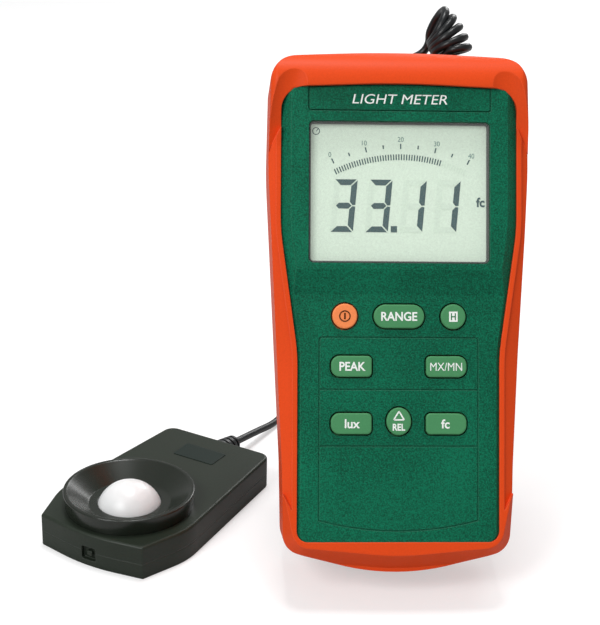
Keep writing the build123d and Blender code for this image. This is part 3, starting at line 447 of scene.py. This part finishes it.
HOLSTER = moulded(
    "holster", (0.74, 0.066, 0.009), 0.45, 0.0005, 0.00002, mottle=0.04, spread=0.05, edge_wear_and_highlight=0.6, shine=0.12,
)
# The case's strong mottle is partly its speckled moulding and partly painted glints: bright flecks of colour
# stand in for the sparkle of its surface.
CASE = moulded(
    "case", (0.0015, 0.118, 0.060), 0.40, 0.00042, 0.00016, mottle=0.42, edge_wear_and_highlight=0.8, shine=0.14, contrast=0.10,
    edge_radius=0.25 * MM,
)
KEY_GREEN = moulded("key_green", (0.065, 0.26, 0.105), 0.5, 0.0004, 0.00001, mottle=0.05, shine=0.25)
KEY_ORANGE = moulded("key_orange", (0.90, 0.255, 0.08), 0.5, 0.0004, 0.00001, mottle=0.05, shine=0.25)
BLACK = moulded(
    "black_plastic", (0.017, 0.024, 0.016), 0.38, 0.0005, 0.00002, mottle=0.15, edge_wear_and_highlight=0.6, shine=0.3,
)
CUP_BLACK = moulded("cup_black", (0.012, 0.016, 0.011), 0.24, 0.0004, 0.000006, mottle=0.1, edge_wear_and_highlight=0.2)
CORD_BLACK = moulded("cord_black", (0.006, 0.008, 0.009), 0.36, 0.0006, 0.00001, mottle=0.1, shine=0.4)
DEEP_BLACK = moulded("deep_black", (0.01, 0.01, 0.01), 0.6, 0.0005, 0.00001)
STAND_GREY = moulded("stand_dark", (0.03, 0.034, 0.034), 0.5, 0.0008, 0.00004, edge_wear_and_highlight=0.2)
DOME = moulded("dome_white", (0.90, 0.91, 0.91), 0.35, 0.0006, 0.000004, mottle=0.01, spread=0.05)
DOME.node_tree.nodes["Principled BSDF"].inputs["Subsurface Weight"].default_value = 0.6
DOME.node_tree.nodes["Principled BSDF"].inputs["Subsurface Radius"].default_value = (0.004, 0.004, 0.004)
DOME.node_tree.nodes["Principled BSDF"].inputs["Subsurface Scale"].default_value = 1.0
DISPLAY = moulded("display", (0.63, 0.745, 0.625), 0.6, 0.0006, 0.000002, mottle=0.07, shine=0.1)
# Painted glow: the display is a reflective LCD with no backlight, and this emission only makes it look
# brighter.
DISPLAY.node_tree.nodes["Principled BSDF"].inputs["Emission Color"].default_value = (0.72, 0.85, 0.70, 1)
DISPLAY.node_tree.nodes["Principled BSDF"].inputs["Emission Strength"].default_value = 0.12
SEGMENT = moulded(
    "segment", (0.0005, 0.050, 0.060), 0.6, 0.0004, 0.000002, mottle=0.25, shine=0.1, edge_radius=0,
)
GHOST = moulded(
    "ghost_segment", (0.60, 0.715, 0.60), 0.6, 0.0006, 0.000002, mottle=0.07, shine=0.1, edge_radius=0,
)
# Painted glow, as on the display: the unlit segments of a reflective LCD give no light of their own.
GHOST.node_tree.nodes["Principled BSDF"].inputs["Emission Color"].default_value = (0.72, 0.85, 0.70, 1)
GHOST.node_tree.nodes["Principled BSDF"].inputs["Emission Strength"].default_value = 0.10
PALE_INK = moulded(
    "pale_ink", (0.85, 0.88, 0.85), 0.6, 0.0004, 0.000002, mottle=0.03, shine=0.1, edge_radius=0,
)
TICK_INK = moulded(
    "tick_ink", (0.10, 0.22, 0.20), 0.5, 0.0004, 0.000002, mottle=0.2, shine=0.1, edge_radius=0,
)
POWER_INK = moulded(
    "power_ink", (0.12, 0.035, 0.01), 0.6, 0.0004, 0.000002, mottle=0.1, shine=0.1, edge_radius=0,
)
KEY_GREEN_INK = moulded(
    "key_green_ink", (0.05, 0.20, 0.09), 0.6, 0.0004, 0.000002, mottle=0.1, shine=0.1, edge_radius=0,
)
WINDOW = clear("window", (0.9, 0.95, 0.9), 0.05, 0.06)
STEEL = moulded("steel", (0.55, 0.55, 0.55), 0.35, 0.0003, 0.000004, mottle=0.05)
STEEL.node_tree.nodes["Principled BSDF"].inputs["Metallic"].default_value = 1.0
BOARD = moulded("board", (0.02, 0.12, 0.04), 0.4, 0.0008, 0.00001)
RUBBER_GREY = moulded("rubber_grey", (0.2, 0.21, 0.2), 0.6, 0.0005, 0.00001)
LABEL = moulded("label", (0.009, 0.018, 0.014), 0.4, 0.0005, 0.000004, shine=0.25)
FILTER = clear("filter", (0.35, 0.75, 0.5), 0.05, 0.7)


def paint(material, *names):
    for name in names:
        for material_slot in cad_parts[name].material_slots:
            material_slot.material = material


paint(HOLSTER, "holster")
paint(CASE, "front_case", "rear_case", "battery_door", "name_plate")
paint(STAND_GREY, "tilt_stand")
paint(STEEL, "stand_pins", "case_screws", "battery_door_screw", "sensor_screws", "photodiode")
paint(WINDOW, "display_window")
paint(DEEP_BLACK, "display_frame", "battery_snap", "controller_chip", "converter_chip", "buzzer")
paint(DEEP_BLACK, "battery", "sensor_socket", "filter_holder")
paint(DISPLAY, "display_glass")
paint(RUBBER_GREY, "contact_strips", "keypad_mat")
paint(BOARD, "circuit_board", "sensor_board")
paint(KEY_ORANGE, "key_power")
KEYS = [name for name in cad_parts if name.startswith("key_")]
paint(KEY_GREEN, *[name for name in KEYS if name != "key_power"])
paint(BLACK, "sensor_top_shell", "sensor_bottom_shell", "nose_catch")
paint(CUP_BLACK, "light_cup")
paint(DOME, "diffuser_dome")
paint(CORD_BLACK, "lead_plug", "sensor_strain_relief")
paint(LABEL, "sensor_label")
paint(FILTER, "correction_filter")
cord_mesh.materials.clear()
cord_mesh.materials.append(CORD_BLACK)

# ---------------------------------------------------------------- what the display shows

GLASS_FACE = 33.3  # w of the display glass
INK_LIFT = 0.04
INK_THICKNESS = 0.04


def plate_mesh(name, outlines, w, material, body, thickness=INK_THICKNESS):
    """Thin printed or displayed shapes on the meter: outlines are lists of (u, v) in millimetres."""
    mesh = bmesh.new()
    for outline in outlines:
        low = [mesh.verts.new(on_meter(u, v, w)) for u, v in outline]
        high = [mesh.verts.new(on_meter(u, v, w + thickness)) for u, v in outline]
        mesh.faces.new(list(reversed(low)))
        mesh.faces.new(high)
        for i in range(len(outline)):
            j = (i + 1) % len(outline)
            mesh.faces.new((low[i], low[j], high[j], high[i]))
    bmesh.ops.recalc_face_normals(mesh, faces=mesh.faces)
    data = bpy.data.meshes.new(name)
    mesh.to_mesh(data)
    mesh.free()
    data.materials.append(material)
    piece = bpy.data.objects.new(name, data)
    bpy.context.collection.objects.link(piece)
    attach(piece, body)
    return piece


def lettering(name, words, u, v, w, height, material, body, slot, stretch=1.0, lean=0.0, weight=0.0):
    """A printed word, centred on (u, v): height is that of a capital letter, in millimetres."""
    text = bpy.data.curves.new(name, "FONT")
    text.body = words
    text.align_x = "CENTER"
    text.align_y = "CENTER"
    # set in millimetres and scaled down as a mesh, because tiny letters fill badly
    text.size = height * CAPITAL_TO_SIZE
    text.offset = weight
    text.extrude = INK_THICKNESS / 2
    text.shear = lean
    text.resolution_u = 4
    curve = bpy.data.objects.new(name, text)
    bpy.context.collection.objects.link(curve)
    bpy.context.view_layer.update()
    data = bpy.data.meshes.new_from_object(curve)
    bpy.data.objects.remove(curve)
    spots = [[p.co[k] for p in data.vertices] for k in range(2)]
    middle = [(min(spot) + max(spot)) / 2 for spot in spots]
    for vertex in data.vertices:
        x, y, z = vertex.co
        local = Vector((u + (x - middle[0]) * stretch, v + y - middle[1], w + z + INK_THICKNESS / 2))
        vertex.co = METER_MATRIX @ (local * MM)
    data.materials.clear()
    data.materials.append(material)
    piece = bpy.data.objects.new(name, data)
    bpy.context.collection.objects.link(piece)
    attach(piece, body)
    return piece


CAPITAL_TO_SIZE = 1.43

DIGIT_HEIGHT = 15.9
DIGIT_WIDTH = 7.0
DIGIT_LEAN = 0.09
STROKE = 1.75
SEGMENT_GAP = 0.28
DIGIT_BASE = 102.5  # v of the foot of the digits
DIGIT_LEFTS = (-20.8, -10.25, 0.15, 10.45)  # u of the left side of each digit, at its foot
SEGMENTS_OF = {3: "ABCDG", 1: "BC"}
READING = (3, 3, 1, 1)


def segment_outline(letter):
    """One bar of a seven-segment digit, in the digit's own box."""
    w, h, t, g = DIGIT_WIDTH, DIGIT_HEIGHT, STROKE, SEGMENT_GAP
    mid = h / 2
    half = t / 2
    shapes = {
        "A": [(g, h), (w - g, h), (w - t - g, h - t), (t + g, h - t)],
        "B": [(w, h - g), (w, mid + g), (w - half, mid + g / 2), (w - t, mid + half + g), (w - t, h - t - g)],
        "C": [(w, mid - g), (w, g), (w - t, t + g), (w - t, mid - half - g), (w - half, mid - g / 2)],
        "D": [(w - g, 0), (g, 0), (t + g, t), (w - t - g, t)],
        "E": [(0, g), (0, mid - g), (half, mid - g / 2), (t, mid - half - g), (t, t + g)],
        "F": [(0, mid + g), (0, h - g), (t, h - t - g), (t, mid + half + g), (half, mid + g / 2)],
        "G": [(g + half, mid), (t + g, mid + half), (w - t - g, mid + half), (w - g - half, mid),
              (w - t - g, mid - half), (t + g, mid - half)],
    }
    return shapes[letter]


def digit_outlines(left, letters):
    return [
        [(left + x + y * DIGIT_LEAN, DIGIT_BASE + y) for x, y in segment_outline(letter)]
        for letter in letters
    ]


lit, ghosts = [], []
for left, digit in zip(DIGIT_LEFTS, READING):
    on = SEGMENTS_OF[digit]
    lit += digit_outlines(left, on)
    ghosts += digit_outlines(left, [letter for letter in "ABCDEFG" if letter not in on])
POINT_AT = (-2.35, DIGIT_BASE)
POINT_SIDE = 1.9
lit.append([
    (POINT_AT[0], POINT_AT[1]), (POINT_AT[0] + POINT_SIDE, POINT_AT[1]),
    (POINT_AT[0] + POINT_SIDE, POINT_AT[1] + POINT_SIDE), (POINT_AT[0], POINT_AT[1] + POINT_SIDE),
])

# Bar graph: short bars along an arc, with ticks and numbers above it
ARC_MIDDLE = (0.6, 80.65)  # u and v of the arc's centre
ARC_RADIUS = 44.6  # to the middle of the bars
BAR_LENGTH = 1.75
BAR_WIDTH = 0.36
BAR_PITCH = radians(1.02)
BARS = 42
GHOST_BARS = 10
FIRST_BAR = radians(-26.2)
TICK_RADIUS = ARC_RADIUS + 3.3
TICK_PITCH = radians(6.35)
TICK_LENGTH = (1.1, 1.6)


def spoke(angle, radius, length, width):
    out = Vector((sin(angle), cos(angle)))
    across = Vector((cos(angle), -sin(angle)))
    middle = Vector(ARC_MIDDLE) + out * radius
    corners = []
    for a, b in ((-1, -1), (1, -1), (1, 1), (-1, 1)):
        corner = middle + across * (a * width / 2) + out * (b * length / 2)
        corners.append((corner.x, corner.y))
    return corners


for k in range(BARS + GHOST_BARS):
    bar = spoke(FIRST_BAR + k * BAR_PITCH, ARC_RADIUS, BAR_LENGTH, BAR_WIDTH)
    (lit if k < BARS else ghosts).append(bar)
TICKS = 9
for k in range(TICKS):
    tick_angle = (k - (TICKS - 1) / 2) * TICK_PITCH
    lit.append(spoke(tick_angle, TICK_RADIUS, TICK_LENGTH[(k + 1) % 2], 0.38))

# Small clock face for the automatic switch-off
CLOCK_AT = (-25.0, 132.9)
CLOCK_RADIUS = 1.15
CLOCK_LINE = 0.22
CLOCK_STEPS = 24
for k in range(CLOCK_STEPS):
    a0, a1 = 2 * pi * k / CLOCK_STEPS, 2 * pi * (k + 1) / CLOCK_STEPS
    ring = [(r * cos(a), r * sin(a)) for r, a in (
        (CLOCK_RADIUS, a0), (CLOCK_RADIUS, a1),
        (CLOCK_RADIUS - CLOCK_LINE, a1), (CLOCK_RADIUS - CLOCK_LINE, a0))]
    lit.append([(CLOCK_AT[0] + x, CLOCK_AT[1] + y) for x, y in ring])
CLOCK_HAND = [(-0.1, -0.1), (0.1, -0.1), (0.7, 0.6), (0.5, 0.7)]
lit.append([(CLOCK_AT[0] + x, CLOCK_AT[1] + y) for x, y in CLOCK_HAND])

INK_W = GLASS_FACE + INK_LIFT
plate_mesh("display_segments", lit, INK_W, SEGMENT, "meter")
plate_mesh("display_ghost_segments", ghosts, INK_W, GHOST, "meter")
lettering(
    "display_unit", "fc", 24.85, 111.8, INK_W, 2.7, SEGMENT, "meter", "frame_black",
    stretch=0.95, weight=0.12,
)
LABEL_RADIUS = TICK_RADIUS + 2.1
for k in range(5):
    label_angle = (k - 2) * 2 * TICK_PITCH
    label_u = ARC_MIDDLE[0] + LABEL_RADIUS * sin(label_angle)
    label_v = ARC_MIDDLE[1] + LABEL_RADIUS * cos(label_angle)
    label_name = f"display_scale_{k * 10}"
    lettering(
        label_name, str(k * 10), label_u, label_v, INK_W, 1.5, TICK_INK, "meter", "frame_black", stretch=0.9,
    )

# ---------------------------------------------------------------- lettering on the keys and plate

KEY_TOP = 35.7  # w of the key tops
KEY_INK_W = KEY_TOP + 0.02
KEY_WORDS = {  # key: (word, u, v, capital height, stretch)
    "range": ("RANGE", 0.0, 77.1, 2.55, 0.92),
    "peak": ("PEAK", -13.95, 62.1, 2.55, 0.92),
    "max_min": ("MX/MN", 14.15, 62.1, 2.45, 0.86),
    "relative": ("REL", 0.0, 44.0, 1.95, 0.86),
    "lux": ("lux", -13.95, 45.0, 2.6, 1.0),
    "foot_candle": ("fc", 13.95, 45.0, 2.6, 1.0),
}
for key, (word, u, v, height, stretch) in KEY_WORDS.items():
    # a thickened M folds over itself, so words with an M keep their plain strokes
    weight = 0.0 if "M" in word else 0.08
    lettering(
        f"{key}_word", word, u, v, KEY_INK_W, height, PALE_INK, f"{key}_key", "key_green", stretch,
        weight=weight,
    )


def ring_outlines(u, v, radius, line, steps=32):
    rings = []
    for k in range(steps):
        a0, a1 = 2 * pi * k / steps, 2 * pi * (k + 1) / steps
        rings.append([
            (u + r * cos(a), v + r * sin(a))
            for r, a in ((radius, a0), (radius, a1), (radius - line, a1), (radius - line, a0))
        ])
    return rings


def stroke(x0, y0, x1, y1, width):
    along = Vector((x1 - x0, y1 - y0)).normalized()
    across = Vector((-along.y, along.x)) * width / 2
    return [(x0 + across.x, y0 + across.y), (x0 - across.x, y0 - across.y),
            (x1 - across.x, y1 - across.y), (x1 + across.x, y1 + across.y)]


POWER_AT = (-16.3, 77.1)
power_mark = ring_outlines(*POWER_AT, 1.75, 0.4)
power_mark.append(stroke(POWER_AT[0], POWER_AT[1] - 0.95, POWER_AT[0], POWER_AT[1] + 0.95, 0.55))
plate_mesh("power_mark", power_mark, KEY_INK_W, POWER_INK, "power_key")

HOLD_AT = (16.3, 77.1)
HOLD_HALF = 1.4
HOLD_SHAPE = (0.92, 1.1)  # width and height of the pale box, over HOLD_HALF
box = [
    (HOLD_AT[0] + x * HOLD_HALF * HOLD_SHAPE[0], HOLD_AT[1] + y * HOLD_HALF * HOLD_SHAPE[1])
    for x, y in ((-1, -1), (1, -1), (1, 1), (-1, 1))
]
plate_mesh("hold_box", [box], KEY_INK_W, PALE_INK, "hold_key")
lettering(
    "hold_word", "H", *HOLD_AT, KEY_INK_W + INK_THICKNESS, 2.0, KEY_GREEN_INK, "hold_key", "key_green", 0.85,
    weight=0.06,
)

TRIANGLE = [(-1.55, 46.2), (1.55, 46.2), (0.0, 48.75)]
sides = [stroke(*TRIANGLE[k], *TRIANGLE[(k + 1) % 3], 0.42) for k in range(3)]
plate_mesh("relative_mark", sides, KEY_INK_W, PALE_INK, "relative_key")

PLATE_FACE = 36.4  # w of the name plate's face
lettering(
    "plate_words", "LIGHT METER", 0.0, 142.3, PLATE_FACE + 0.02, 2.9, PALE_INK, "meter", "name_plate_green",
    stretch=1.15, lean=0.18,
)

# ---------------------------------------------------------------- floor, world and lights

FLOOR_SIZE = 3.0
floor_mesh = bpy.data.meshes.new("floor")
half = FLOOR_SIZE / 2
floor_corners = [(-half, -half, 0), (half, -half, 0), (half, half, 0), (-half, half, 0)]
floor_mesh.from_pydata(floor_corners, [], [(0, 1, 2, 3)])
floor = bpy.data.objects.new("floor", floor_mesh)
bpy.context.collection.objects.link(floor)
FLOOR = moulded("floor", (0.54, 0.54, 0.54), 0.7, 0.01, 0.00001, mottle=0.01, shine=0.1)
FLOOR_GLOW = 0.50  # seen by the camera only, so that the shadows stay pale and the floor lights nothing
floor_shader = FLOOR.node_tree.nodes["Principled BSDF"]
floor_shader.inputs["Emission Color"].default_value = (1, 1, 1, 1)
ray_kind = FLOOR.node_tree.nodes.new("ShaderNodeLightPath")
glow = FLOOR.node_tree.nodes.new("ShaderNodeMath")
glow.operation = "MULTIPLY"
glow.inputs[1].default_value = FLOOR_GLOW
FLOOR.node_tree.links.new(ray_kind.outputs["Is Camera Ray"], glow.inputs[0])
FLOOR.node_tree.links.new(glow.outputs[0], floor_shader.inputs["Emission Strength"])
floor_mesh.materials.append(FLOOR)

WORLD_STRENGTH = 0.38
world = bpy.data.worlds.new("world")
bpy.context.scene.world = world
world.use_nodes = True
world.node_tree.nodes["Background"].inputs[0].default_value = (1, 1, 1, 1)
world.node_tree.nodes["Background"].inputs[1].default_value = WORLD_STRENGTH


def area_light(name, at, look, size, power, size_y=None):
    data = bpy.data.lights.new(name, "AREA")
    data.energy = power
    data.size = size
    if size_y:
        data.shape = "RECTANGLE"
        data.size_y = size_y
    lamp = bpy.data.objects.new(name, data)
    lamp.location = at
    lamp.rotation_euler = (Vector(look) - Vector(at)).to_track_quat("-Z", "Y").to_euler()
    bpy.context.collection.objects.link(lamp)
    return lamp


area_light("key_light", (-0.8, -0.9, 1.1), (0, 0, 0.05), 0.6, 13)
area_light("fill_light", (0.9, -1.0, 0.8), (0, 0, 0.05), 0.9, 0.4)
area_light("top_light", (0.02, 0.16, 1.3), (0, 0, 0.05), 0.3, 8)
area_light("back_light", (0.4, 0.9, 0.6), (0, 0, 0.05), 0.4, 3)

bpy.context.scene.view_settings.view_transform = "Standard"
